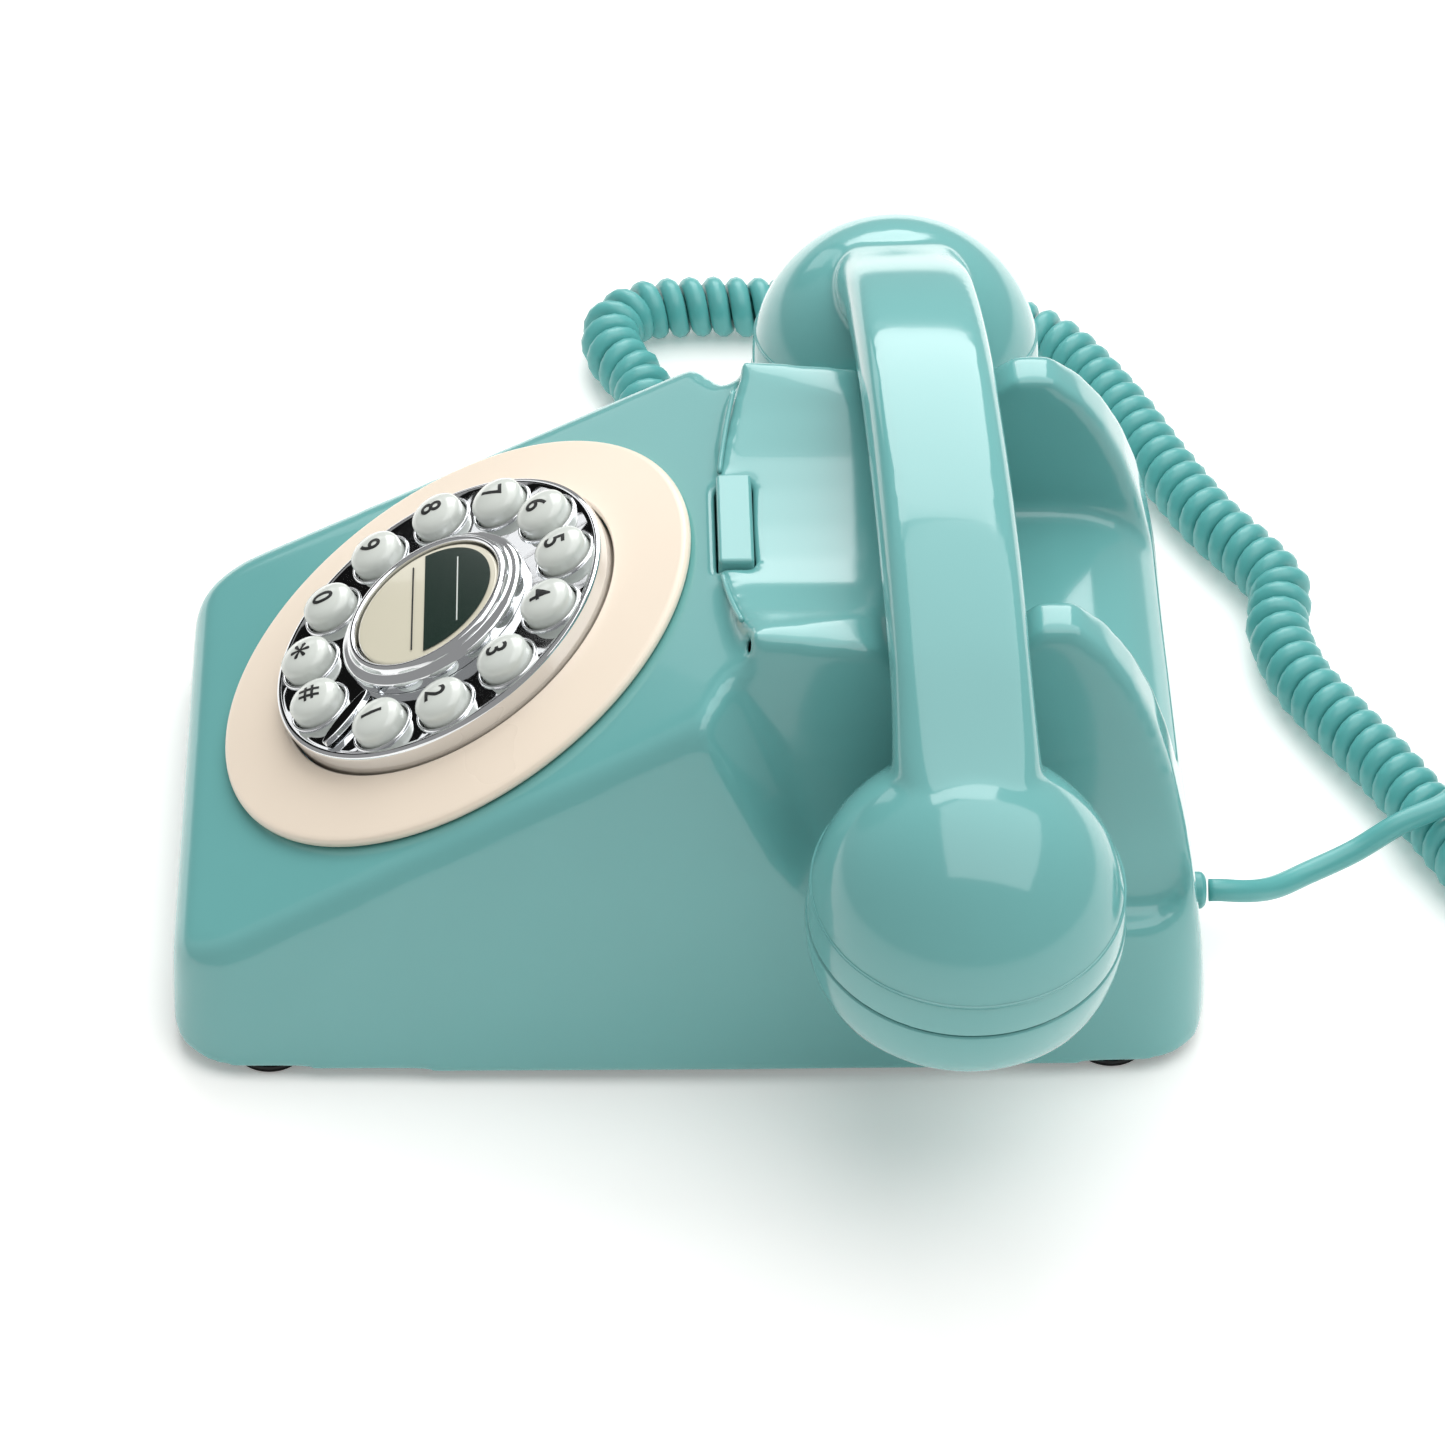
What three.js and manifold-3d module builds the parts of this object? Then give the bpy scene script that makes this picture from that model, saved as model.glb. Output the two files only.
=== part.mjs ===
// A push-button desk telephone in the style of a dial telephone.
// Millimetres, +Z up. The keypad faces -Y, the user's right hand is +X, and the feet stand on z = 0.
import * as THREE from "three";
import { mergeVertices } from "three/addons/utils/BufferGeometryUtils.js";
import Module from "manifold-3d";

const wasm = await Module();
wasm.setup();

// Driving dimensions.
const GAP = 0.3; // clearance between touching pieces
const WALL = 2.8; // moulded wall of the case
const CASE = {
  half: 76, // half width of the base at its middle
  bow: 2.5, // how much narrower the base is at its ends
  rear: 108.4, // half depth of the base
  corner: 15, // radius of the base's corners in plan
  bottom: 2.5, // lower edge above the table
  top: 98.4, // tips of the horns
  draft: 0.16, // lean of the side walls
};
const PANEL = { angle: 29.72, y: -49.9, z: 59.4, edge: 5, front: 8 }; // dial centre, its tilt and edge radii
const RING = { outer: 57, inner: 40.2, thick: 2.6, rise: 1.8 };
const PLATE = { r: 39.8, top: 6.2, skin: 1.6, skirt: 1.8 };
const KEYS = { circle: 31.2, first: -24, step: 28.95, r: 5.85, flange: 6.6, top: 10.6, foot: -5.8 };
const REDIAL = { r: 17.1, flange: 19, top: 10.3 };
const BEZEL = { outer: 21.9, inner: 17.5, top: 10.8 };
const SHELF = { low: 2.6, high: 3.8 }; // flanges that hold the keys under the dial plate
const SADDLE = { low: 88.3, r: 115, halfWidth: 44 }; // hollow between the two ridges behind the dial
const HORN = { inner: 36, outer: 46.5, lean: 0.24 };
const POCKET = { floor: 36, rear: 102.7 };
const HANDSET = {
  y: 51, // middle of the handset
  ball: 32, // radius of the round ends
  ballX: 90.6, // their centres
  ballZ: 63.8,
  top: 118, // highest line of the handle
  deep: 22, // depth of the handle
  wall: 2.4,
  capTilt: 8.4, // lean of the caps towards the middle
  yaw: 2, // turn of the whole handset on its rest
};
const CORD = { wire: 5, coil: 14.6 };
const FLOOR = 5.7; // upper side of the base plate, with its gap

const rad = THREE.MathUtils.degToRad;
const phone = new THREE.Group();

// Materials.
const finish = (color, roughness, metalness = 0) => {
  return () => new THREE.MeshStandardMaterial({ color, roughness, metalness });
};
const teal = finish(0x7fbfbd, 0.2);
const cream = finish(0xf2e3cf, 0.3);
const chrome = finish(0xd8dade, 0.08, 1);
const pearl = finish(0xd2d6d0, 0.25);
const rubber = finish(0x151515, 0.8);
const steel = finish(0x9a9da1, 0.35, 1);
const brass = finish(0xb8a05a, 0.3, 1);
const board = finish(0x2f6b45, 0.6);
const grey = finish(0x5a5f63, 0.6);
const cordTeal = finish(0x5d9f9b, 0.35);

// A closed three.js geometry as a solid; faces that point inwards are turned round.
function solid(geometry, matrix) {
  const bare = geometry.clone();
  for (const name of Object.keys(bare.attributes)) if (name !== "position") bare.deleteAttribute(name);
  if (matrix) bare.applyMatrix4(matrix);
  const merged = mergeVertices(bare, 1e-4);
  const index = merged.index.array;
  const triVerts = [];
  for (let i = 0; i < index.length; i += 3) {
    const [a, b, c] = [index[i], index[i + 1], index[i + 2]];
    if (a !== b && b !== c && a !== c) triVerts.push(a, b, c);
  }
  const make = () =>
    new wasm.Manifold(
      new wasm.Mesh({
        numProp: 3,
        vertProperties: new Float32Array(merged.attributes.position.array),
        triVerts: new Uint32Array(triVerts),
      }),
    );
  if (make().volume() > 0) return make();
  for (let i = 1; i < triVerts.length; i += 3) [triVerts[i], triVerts[i + 1]] = [triVerts[i + 1], triVerts[i]];
  return make();
}

function meshGeometry(made) {
  const mesh = made.getMesh();
  const geometry = new THREE.BufferGeometry();
  geometry.setAttribute("position", new THREE.BufferAttribute(new Float32Array(mesh.vertProperties), 3));
  geometry.setIndex(new THREE.BufferAttribute(new Uint32Array(mesh.triVerts), 1));
  geometry.computeVertexNormals();
  return geometry;
}

function add(name, made, material, parent = phone) {
  const mesh = new THREE.Mesh(meshGeometry(made), material());
  mesh.name = name;
  parent.add(mesh);
}

// Shapes.
const at = (x, y, z) => new THREE.Matrix4().makeTranslation(x, y, z);
const v2 = (points) => points.map(([x, y]) => new THREE.Vector2(x, y));

function block(x0, x1, y0, y1, z0, z1) {
  const geometry = new THREE.BoxGeometry(x1 - x0, y1 - y0, z1 - z0);
  return solid(geometry, at((x0 + x1) / 2, (y0 + y1) / 2, (z0 + z1) / 2));
}

// A turned piece: profile points are [radius, height], and the axis is Z.
function turned(profile, sides = 24) {
  return solid(new THREE.LatheGeometry(v2(profile), sides), new THREE.Matrix4().makeRotationX(Math.PI / 2));
}

function post(r, z0, z1, x = 0, y = 0, sides = 16) {
  return turned([[0, z0], [r, z0], [r, z1], [0, z1]], sides).translate([x, y, 0]);
}

function extruded(outline, depth) {
  return new THREE.ExtrudeGeometry(new THREE.Shape(v2(outline)), { depth, bevelEnabled: false, steps: 1 });
}

// An outline in X and Y, raised from z0 to z1.
const raised = (outline, z0, z1) => solid(extruded(outline, z1 - z0), at(0, 0, z0));

// An outline in Y and Z, drawn out from x0 to x1.
function acrossX(outline, x0, x1) {
  const axes = new THREE.Matrix4().makeBasis(
    new THREE.Vector3(0, 1, 0),
    new THREE.Vector3(0, 0, 1),
    new THREE.Vector3(1, 0, 0),
  );
  return solid(extruded(outline, x1 - x0), at(x0, 0, 0).multiply(axes));
}

// Everything on the far side of a plane through a point, away from the origin of its normal.
function beyond(normal, point) {
  const size = 400;
  const n = new THREE.Vector3(...normal).normalize();
  const turn = new THREE.Quaternion().setFromUnitVectors(new THREE.Vector3(0, 0, 1), n);
  const centre = new THREE.Vector3(...point).addScaledVector(n, size / 2);
  const place = new THREE.Matrix4().compose(centre, turn, new THREE.Vector3(1, 1, 1));
  return solid(new THREE.BoxGeometry(size, size, size), place);
}

// Closed rings with the same number of points, skinned in order and capped at both ends.
function skinned(rings) {
  const count = rings[0].length;
  const positions = rings.flat(2);
  const index = [];
  const quad = (a, b, c, d) => index.push(a, b, c, a, c, d);
  for (let i = 0; i + 1 < rings.length; i++) {
    for (let j = 0; j < count; j++) {
      const k = (j + 1) % count;
      quad(i * count + j, i * count + k, (i + 1) * count + k, (i + 1) * count + j);
    }
  }
  for (const [ring, turn] of [[0, 1], [rings.length - 1, -1]]) {
    const middle = positions.length / 3;
    const centre = [0, 1, 2].map((axis) => rings[ring].reduce((sum, p) => sum + p[axis], 0) / count);
    positions.push(...centre);
    for (let j = 0; j < count; j++) {
      const [a, b] = [ring * count + j, ring * count + ((j + 1) % count)];
      index.push(...(turn > 0 ? [middle, b, a] : [middle, a, b]));
    }
  }
  const geometry = new THREE.BufferGeometry();
  geometry.setAttribute("position", new THREE.Float32BufferAttribute(positions, 3));
  geometry.setIndex(index);
  return solid(geometry);
}

// A round bar along a smooth curve through points.
function alongCurve(points, r, sides, steps) {
  const curve = new THREE.CatmullRomCurve3(points.map((p) => new THREE.Vector3(...p)));
  const section = new THREE.Shape();
  for (let i = 0; i < sides; i++) {
    const a = (2 * Math.PI * i) / sides;
    section[i ? "lineTo" : "moveTo"](r * Math.cos(a), r * Math.sin(a));
  }
  return solid(new THREE.ExtrudeGeometry(section, { steps, bevelEnabled: false, extrudePath: curve }));
}

const both = (make) => make(-1).add(make(1));
const pick = (low, value, high) => Math.min(Math.max(value, low), high);

// The dial's own frame: origin on top of the cream ring, Z square to the panel.
const dial = new THREE.Group();
dial.position.set(0, PANEL.y, PANEL.z);
dial.rotation.x = rad(PANEL.angle);
phone.add(dial);
dial.updateMatrix();
const PANEL_TOP = -RING.thick - GAP;
const onDial = (made) => solid(meshGeometry(made), dial.matrix);
const slope = Math.tan(rad(PANEL.angle));
const panelZ = (y) => PANEL.z + slope * (y - PANEL.y) + PANEL_TOP / Math.cos(rad(PANEL.angle));

// ---- Case -------------------------------------------------------------------------------------

// Half width of the case's lower edge at a depth y, with its rounded corners.
function baseHalf(y, inset = 0) {
  const straight = CASE.rear - CASE.corner;
  const middle = CASE.half - CASE.bow * (pick(0, Math.abs(y), straight) / straight) ** 2;
  const over = Math.max(0, Math.abs(y) - straight);
  return middle - CASE.corner + Math.sqrt(Math.max(0, (CASE.corner - inset) ** 2 - over ** 2));
}

// Heights of the case's back from the horns' tips to the foot of the rear face.
function rearCurve(t) {
  const curve = new THREE.CubicBezierCurve(
    new THREE.Vector2(78, CASE.top),
    new THREE.Vector2(97, 86),
    new THREE.Vector2(104, 52),
    new THREE.Vector2(CASE.rear, 9),
  );
  const p = curve.getPoint(t);
  return [p.x, p.y];
}

// Depth and height of each station of the case, from the front face over the panel to the back.
function stations(inset) {
  const list = [];
  const lean = Math.PI / 2 + rad(PANEL.angle);
  const r = PANEL.front - inset;
  const cy = -CASE.rear + PANEL.front;
  const cz = panelZ(-CASE.rear) - PANEL.front * Math.tan((Math.PI - lean) / 2);
  for (let i = 0; i <= 3; i++) {
    const a = Math.PI + ((lean - Math.PI) * i) / 3;
    list.push([cy + r * Math.cos(a), cz + r * Math.sin(a)]);
  }
  const drop = inset / Math.cos(rad(PANEL.angle));
  for (const y of [-101, -97, -93.4, -60, -25, 11.5]) list.push([y, panelZ(y) - drop]);
  for (const y of [12, 45]) list.push([y, CASE.top - inset]);
  for (let i = 0; i <= 8; i++) {
    const [y, z] = rearCurve(i / 8);
    list.push([y * (1 - inset / CASE.rear), z - inset]);
  }
  return list;
}

// The case's outside before its hollows, or its inside when inset is a wall's thickness.
function envelope(inset = 0) {
  const rings = stations(inset).map(([y, z]) => {
    const bottom = inset ? -2 : CASE.bottom;
    const low = baseHalf(y, inset);
    const draft = CASE.draft + 0.0008 * Math.max(0, -y);
    const high = low - draft * z;
    const r = PANEL.edge - inset;
    const side = [[low, bottom]];
    for (let i = 0; i <= 3; i++) {
      const a = (Math.PI / 2) * (i / 3);
      side.push([high - r + r * Math.cos(a), z - r + r * Math.sin(a)]);
    }
    side.push([high * 0.4, z]);
    const mirrored = side.map(([x, h]) => [-x, h]).reverse();
    return [...side, ...mirrored].map(([x, h]) => [x, y, h]);
  });
  return skinned(rings);
}

// The raised bridge behind the panel: its front edge bulges towards the dial.
function bridge(inset = 0) {
  const half = HORN.outer - 0.5 - inset;
  const outline = [];
  for (let i = 0; i <= 8; i++) {
    const x = half - (2 * half * i) / 8;
    outline.push([x, 6 + 5.5 * (x / SADDLE.halfWidth) ** 2 + inset]);
  }
  return raised([...outline, [-half, 40], [half, 40]], 70, CASE.top - inset);
}

// Everything cut away above: the saddle, the rest for the handle and the carrying recess.
function topCut(grow = 0) {
  const arc = [];
  const centre = SADDLE.low + SADDLE.r;
  const r = SADDLE.r + grow;
  const half = SADDLE.halfWidth + grow;
  for (let i = 0; i <= 8; i++) {
    const x = -half + (2 * half * i) / 8;
    arc.push([x, centre - Math.sqrt(r * r - x * x)]);
  }
  const hollow = solid(extruded([...arc, [half, 140], [-half, 140]], 90 + 2 * grow), new THREE.Matrix4()
    .makeRotationX(Math.PI / 2)
    .premultiply(at(0, 60 + grow, 0)));
  const g = grow;
  const rest = [[-30, 98 - g], [10.5, 97.4 - g], [37.5, 94.3 - g], [41.8, 90 - g], [59, 90 - g]];
  rest.push([65 + g / 2, 93.6 - g], [70.8 + g, 98.8], [70.8 + g, 140], [-30, 140]);
  const restCut = acrossX(rest, -90, 90);
  const floor = 63 - g; // bottom of the carrying recess
  const recess = [[46 - g, 140], [46 - g, 84], [54 - g, 66 - g / 2], [60 - g / 2, floor], [80, floor], [88, 62 - g]];
  const roll = [[94, 59.6 - g], [99, 55.6 - g], [103, 51 - g], [107, 44 - g], [125, 20 - g], [125, 140]];
  return hollow.add(restCut).add(acrossX([...recess, ...roll], -HORN.inner - g, HORN.inner + g));
}

// The pocket beside a horn that takes an ear cap; side is 1 or -1.
function pocket(side, grow = 0) {
  const [a, b, c] = [[61.5, 0.5, 84.8], [44, 9.5, 91.5], [69.5, 21.5, 46]].map((p) => new THREE.Vector3(...p));
  const bevel = new THREE.Vector3().crossVectors(c.clone().sub(a), b.clone().sub(a)).normalize();
  a.addScaledVector(bevel, -grow);
  const floor = POCKET.floor - grow;
  const rear = POCKET.rear + grow;
  const outline = [[-20, floor], [rear - 8, floor], [rear - 2.3, floor + 2.3], [rear, floor + 8]];
  outline.push([rear, 140], [-20, 140]);
  const wallPoint = [HORN.outer - grow * 1.03, 0, CASE.top];
  const made = acrossX(outline, 30, 120)
    .intersect(beyond([bevel.x, bevel.y, bevel.z], [a.x, a.y, a.z]))
    .intersect(beyond([1, 0, HORN.lean], wallPoint));
  return side > 0 ? made : made.mirror([1, 0, 0]);
}

const SCREWS = [[60, 66], [-60, 66], [60, -66], [-60, -66]];
const PLUNGER = { x: 43.2, y: 52, r: 3.2, top: 90.6, low: 54.3 };
const RECALL = { half: 14.4, y: 9.7, deep: 3.55, top: 91 };
const GLAND = { x: 34, z: 16 };

function makeCase() {
  const outside = envelope().add(bridge()).subtract(topCut()).subtract(both((s) => pocket(s)));
  let inside = envelope(WALL).add(bridge(WALL));
  inside = inside.subtract(topCut(WALL)).subtract(both((s) => pocket(s, WALL)));
  let shell = outside.subtract(inside);
  for (const [x, y] of SCREWS) {
    shell = shell.add(post(4.5, FLOOR, y > 0 ? 34.5 : 44.5, x, y, 8));
    shell = shell.subtract(post(1.8, 0, 17, x, y, 8));
  }
  shell = shell.subtract(onDial(post(37.5, -20, 5, 0, 0, 28)));
  const slot = GAP + RECALL.deep;
  const slotHalf = RECALL.half + GAP;
  shell = shell.subtract(block(-slotHalf, slotHalf, RECALL.y - slot, RECALL.y + slot, 80, 99));
  const bore = post(PLUNGER.r + GAP, 80, 99, 0, PLUNGER.y, 12);
  shell = shell.subtract(both((s) => bore.translate([s * PLUNGER.x, 0, 0])));
  shell = shell.subtract(block(-37, -23, 96, 112, 11.7, 24.3));
  const glandHole = turned([[0, 96], [4.3, 96], [4.3, 115], [0, 115]], 12).rotate([-90, 0, 0]);
  return shell.subtract(glandHole.translate([GLAND.x, 0, GLAND.z]));
}
add("case_shell", makeCase(), teal);

function caseOutline(inset) {
  const end = CASE.rear - inset;
  const steps = [-1, -0.97, -0.93, -0.87, -0.5, 0, 0.5, 0.87, 0.93, 0.97, 1];
  const right = steps.map((t) => [baseHalf(t * end, inset), t * end]);
  return [...right, ...right.map(([x, y]) => [-x, y]).reverse()];
}

const SWITCH = { x: 36, y: -25 }; // ringer switch on the underside
const BOARD_LEGS = [[40, -55], [-40, -55], [40, -8], [-40, -8]];

function basePlate() {
  let plate = raised(caseOutline(WALL + 2.3), CASE.bottom, FLOOR - GAP);
  for (const [x, y] of SCREWS) plate = plate.subtract(post(1.9, 0, 9, x, y, 8));
  plate = plate.subtract(block(SWITCH.x - 6, SWITCH.x + 6, SWITCH.y - 2.5, SWITCH.y + 2.5, 0, 9));
  for (const [x, y] of BOARD_LEGS) plate = plate.add(post(3, 4, 9.7, x, y, 8));
  return plate;
}
add("base_plate", basePlate(), grey);

SCREWS.forEach(([x, y], i) => {
  const screw = turned([[0, 0.7], [3.2, 0.7], [3.2, 2.2], [1.5, 2.2], [1.5, 15.7], [0, 15.7]], 8);
  add("case_screw_" + (i + 1), screw.translate([x, y, 0]), steel);
});
[[64, 88], [-64, 88], [64, -88], [-64, -88]].forEach(([x, y], i) => {
  const foot = turned([[0, 0], [7, 0], [7.8, 0.8], [7.8, 2.2], [0, 2.2]], 14);
  add("foot_" + (i + 1), foot.translate([x, y, 0]), rubber);
});

// ---- Dial and keys ----------------------------------------------------------------------------

// The cream ring is a shallow cone that rises towards the dial plate.
const ringProfile = [[RING.inner, -RING.thick], [RING.outer - 0.6, -RING.thick], [RING.outer, -1.6]];
ringProfile.push([RING.outer - 0.5, -0.5], [RING.outer - 1.6, -0.1], [RING.inner, RING.rise]);
ringProfile.push([RING.inner, -RING.thick]);
add("dial_surround", turned(ringProfile, 48), cream, dial);

const keyPlace = (i) => {
  const a = rad(KEYS.first + KEYS.step * i);
  return [KEYS.circle * Math.cos(a), KEYS.circle * Math.sin(a)];
};
const NAMES = ["1", "2", "3", "4", "5", "6", "7", "8", "9", "0", "star", "hash"];

function dialPlate() {
  const { r, top, skin, skirt } = PLATE;
  const low = -RING.thick;
  const profile = [[BEZEL.inner, top - skin], [r - skirt, top - skin], [r - skirt, low], [r, low], [r, top - 0.8]];
  profile.push([r - 0.8, top], [BEZEL.inner, top], [BEZEL.inner, top - skin]);
  let plate = turned(profile, 36);
  NAMES.forEach((_, i) => {
    plate = plate.subtract(post(KEYS.r + 0.55, 0, 9, ...keyPlace(i), 12));
  });
  return plate;
}
add("dial_plate", dialPlate(), chrome, dial);

const rimLow = PLATE.top + GAP;
const { inner: rimIn, outer: rimOut, top: rimTop } = BEZEL;
const bezelProfile = [[rimIn, rimLow], [rimOut, rimLow], [rimOut, 8.4], [rimOut - 0.6, 9], [rimOut - 2, 9.2]];
bezelProfile.push([rimOut - 2.6, 10.3], [rimOut - 3.2, rimTop], [rimIn + 0.5, rimTop], [rimIn, 10.3]);
bezelProfile.push([rimIn, rimLow]);
add("dial_bezel", turned(bezelProfile, 28), chrome, dial);

function fingerStop() {
  const edge = [[38, 0.5], [35, 1.2], [31, 1.5], [26, 1.1]]; // one long side of the blade
  const blade = [[23, 0], ...edge.map(([x, y]) => [x, -y]).reverse(), ...edge];
  return raised(blade, rimLow, 8.6).rotate([0, 0, -43.3]);
}
add("finger_stop", fingerStop(), chrome, dial);

NAMES.forEach((name, i) => {
  const { r, flange, top, foot } = KEYS;
  const { low, high } = SHELF;
  const profile = [[0, foot], [2.5, foot], [2.5, low], [flange, low], [flange, high], [r, high], [r, 8.6]];
  profile.push([r * 0.75, 10.1], [0, top]);
  add("key_" + name, turned(profile, 10).translate([...keyPlace(i), 0]), pearl, dial);
});

const redialProfile = [[0, KEYS.foot], [3, KEYS.foot], [3, SHELF.low], [REDIAL.flange, SHELF.low]];
redialProfile.push([REDIAL.flange, SHELF.high], [REDIAL.r, SHELF.high], [REDIAL.r, 9.6]);
redialProfile.push([REDIAL.r - 0.6, 10], [0, REDIAL.top]);
add("redial_button", turned(redialProfile, 24), cream, dial);

add("keypad_mat", post(39.5, -9.2, -8, 0, 0, 20), rubber, dial);
add("keypad_board", post(39.5, -11, -9.5, 0, 0, 20), board, dial);
const frameProfile = [[0, -12.8], [42.5, -12.8], [42.5, -6], [40, -6], [40, -11.3], [0, -11.3], [0, -12.8]];
add("keypad_frame", turned(frameProfile, 20), grey, dial);

// ---- Recall button and hook ------------------------------------------------------------------

function recallButton() {
  const { half, y, deep, top } = RECALL;
  const ears = block(-half - 2.5, half + 2.5, y - 3, y + 3, 80.6, 82.6);
  return block(-half, half, y - deep, y + deep, 82, top).add(ears);
}
add("recall_button", recallButton(), teal);

for (const [name, side] of [["plunger_left", -1], ["plunger_right", 1]]) {
  const { r, low, top } = PLUNGER;
  const profile = [[0, low], [r, low], [r, top - 1], [r - 1, top], [0, top]];
  add(name, turned(profile, 10).translate([side * PLUNGER.x, PLUNGER.y, 0]), grey);
}
const YOKE = { low: 50, top: 54, half: 47 };
const yokeBar = block(-YOKE.half, YOKE.half, PLUNGER.y - 3.5, PLUNGER.y + 3.5, YOKE.low, YOKE.top);
add("hook_yoke", yokeBar.add(block(-5, 5, 12, PLUNGER.y, YOKE.low, YOKE.top)), grey);
add("hook_switch", block(-8, 8, 11, 21, 38, YOKE.low - GAP), grey);
add("switch_bracket", block(-9, 9, 9, 10.7, FLOOR, 49).add(block(-9, 9, 3, 10.7, FLOOR, FLOOR + 1.6)), steel);

// ---- Electronics and ringer on the base plate ------------------------------------------------

add("main_board", block(-46, 46, -62, -2, 10, 11.6), board);
add("ballast", block(-36, 36, -98, -70, FLOOR, 14), steel);

function ringerSlider() {
  const { x, y } = SWITCH;
  return block(x - 3, x + 0.5, y - 2, y + 2, 2.2, 8).add(block(x - 3.5, x + 1, y - 4, y + 4, FLOOR, 8));
}
add("ringer_switch", ringerSlider(), rubber);

const RINGER = { x: 27, y: 58, r: 22, post: 25.1 };
function ringerFrame() {
  let frame = block(-34, 34, 24, 66, FLOOR, 7.7);
  for (const side of [-1, 1]) frame = frame.add(post(3, 7, RINGER.post, side * RINGER.x, RINGER.y, 10));
  return frame.add(block(-5, 5, 24, 34, 7, 9.7));
}
add("ringer_frame", ringerFrame(), steel);
for (const [name, side] of [["gong_left", -1], ["gong_right", 1]]) {
  const { r } = RINGER;
  const outer = [[r - 1.4, 13], [r, 13], [r, 18], [r * 0.8, 25], [0, 28]];
  const inner = [[0, 26], [r * 0.74, 23.6], [r - 1.4, 17.6], [r - 1.4, 13]];
  add(name, turned([...outer, ...inner], 16).translate([side * RINGER.x, RINGER.y, 0]), brass);
}
const coil = turned([[0, -12], [8, -12], [8, 12], [0, 12]], 16).rotate([0, 90, 0]);
add("ringer_coil", coil.translate([0, 29, 18.2]), brass);
const CLAPPER = { y: 42, r: 3 };
function clapper() {
  const arm = block(-1, 1, CLAPPER.y, 56, 15, 18);
  const armature = block(-9, 9, CLAPPER.y - 3, CLAPPER.y - 0.5, 12, 22);
  const hub = post(3, 12, 22, 0, CLAPPER.y, 8);
  const ball = solid(new THREE.SphereGeometry(CLAPPER.r, 8, 6), at(0, 57, 16.5));
  return arm.add(armature).add(hub).add(ball).subtract(post(1.6, 0, 30, 0, CLAPPER.y, 8));
}
add("ringer_clapper", clapper(), steel);
add("clapper_pin", post(1.2, 8, 24, 0, CLAPPER.y, 8), steel);

function lineSocket() {
  const body = block(-36.7, -23.3, 86, 102.5, FLOOR, 24).add(block(-36.7, -23.3, 100, 106.2, 12, 24));
  return body.subtract(block(-33.5, -26.5, 92, 110, 14.5, 21.5));
}
add("line_socket", lineSocket(), grey);

// ---- Handset ----------------------------------------------------------------------------------

// The handset lies on its rest turned a little about the vertical.
const handset = new THREE.Group();
const yaw = rad(HANDSET.yaw);
handset.rotation.z = yaw;
handset.position.set(HANDSET.y * Math.sin(yaw), HANDSET.y * (1 - Math.cos(yaw)), 0);
phone.add(handset);
handset.updateMatrix();

const archDrop = HANDSET.top - HANDSET.ballZ - HANDSET.ball;
const archZ = (x) => HANDSET.top - archDrop * (Math.abs(x) / HANDSET.ballX) ** 2.2;
// Half widths of the handle against the depth below its top.
const SECTION = [[9, 0], [12.3, 1], [14, 4], [14.4, 9], [13.2, 15], [9.5, 20], [5, HANDSET.deep]];

function handle(inset = 0, reach = HANDSET.ballX) {
  const rings = [];
  const count = 12;
  const middle = HANDSET.deep / 2;
  for (let i = 0; i <= count; i++) {
    const x = -reach + (2 * reach * i) / count;
    const side = SECTION.map(([w, d]) => {
      const k = 1 - inset / middle;
      return [w * (1 - inset / 14.4), middle + (d - middle) * k];
    });
    const loop = [...side, ...side.map(([w, d]) => [-w, d]).reverse()];
    rings.push(loop.map(([w, d]) => [x, HANDSET.y + w, archZ(x) - d]));
  }
  return skinned(rings);
}

// Puts a piece that is turned about Z at a ball of the handset, tilted as its cap is.
function onBall(made, side) {
  return made.rotate([0, side * HANDSET.capTilt, 0]).translate([side * HANDSET.ballX, HANDSET.y, HANDSET.ballZ]);
}

const CAP = { seam: -1.5, r: 32.3, low: -18.5, face: 25 };
function ballSolid(side, inset = 0) {
  const r = HANDSET.ball - inset;
  const ball = solid(new THREE.SphereGeometry(r, 20, 12), new THREE.Matrix4().makeRotationX(Math.PI / 2));
  return onBall(ball, side);
}
function belowSeam(side, level) {
  const ownHalf = side > 0 ? block(50, 200, -100, 200, -50, 150) : block(-200, -50, -100, 200, -50, 150);
  return onBall(beyond([0, 0, -1], [0, 0, level]), side).intersect(ownHalf);
}

const LEAD_EXIT = new THREE.Vector3(-1, 0, 0.05).normalize();
const exitPoint = (distance) => [
  -HANDSET.ballX + LEAD_EXIT.x * distance,
  HANDSET.y + LEAD_EXIT.y * distance,
  HANDSET.ballZ + LEAD_EXIT.z * distance,
];
function alongExit(made) {
  const turn = new THREE.Quaternion().setFromUnitVectors(new THREE.Vector3(0, 0, 1), LEAD_EXIT);
  const place = new THREE.Vector3(...exitPoint(0));
  return solid(meshGeometry(made), new THREE.Matrix4().compose(place, turn, new THREE.Vector3(1, 1, 1)));
}

const COVER = { half: 52, wide: 5.4 };
function handsetShell() {
  const { wall } = HANDSET;
  let shell = handle().add(both((s) => ballSolid(s)));
  for (const side of [-1, 1]) shell = shell.subtract(belowSeam(side, CAP.seam));
  shell = shell.subtract(handle(wall)).subtract(both((s) => ballSolid(s, wall)));
  const slot = block(-COVER.half, COVER.half, HANDSET.y - COVER.wide, HANDSET.y + COVER.wide, 60, 130);
  shell = shell.subtract(slot.intersect(handle().translate([0, 0, -HANDSET.deep + 3])));
  return shell.subtract(alongExit(post(4.3, 20, 40, 0, 0, 12)));
}
add("handset_shell", handsetShell(), teal, handset);

function handleCover() {
  const strip = handle().intersect(handle().translate([0, 0, -HANDSET.deep + 2.2]));
  const [x, w] = [COVER.half - GAP, COVER.wide - GAP];
  return strip.intersect(block(-x, x, HANDSET.y - w, HANDSET.y + w, 60, 130));
}
add("handset_underside", handleCover(), teal, handset);

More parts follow.
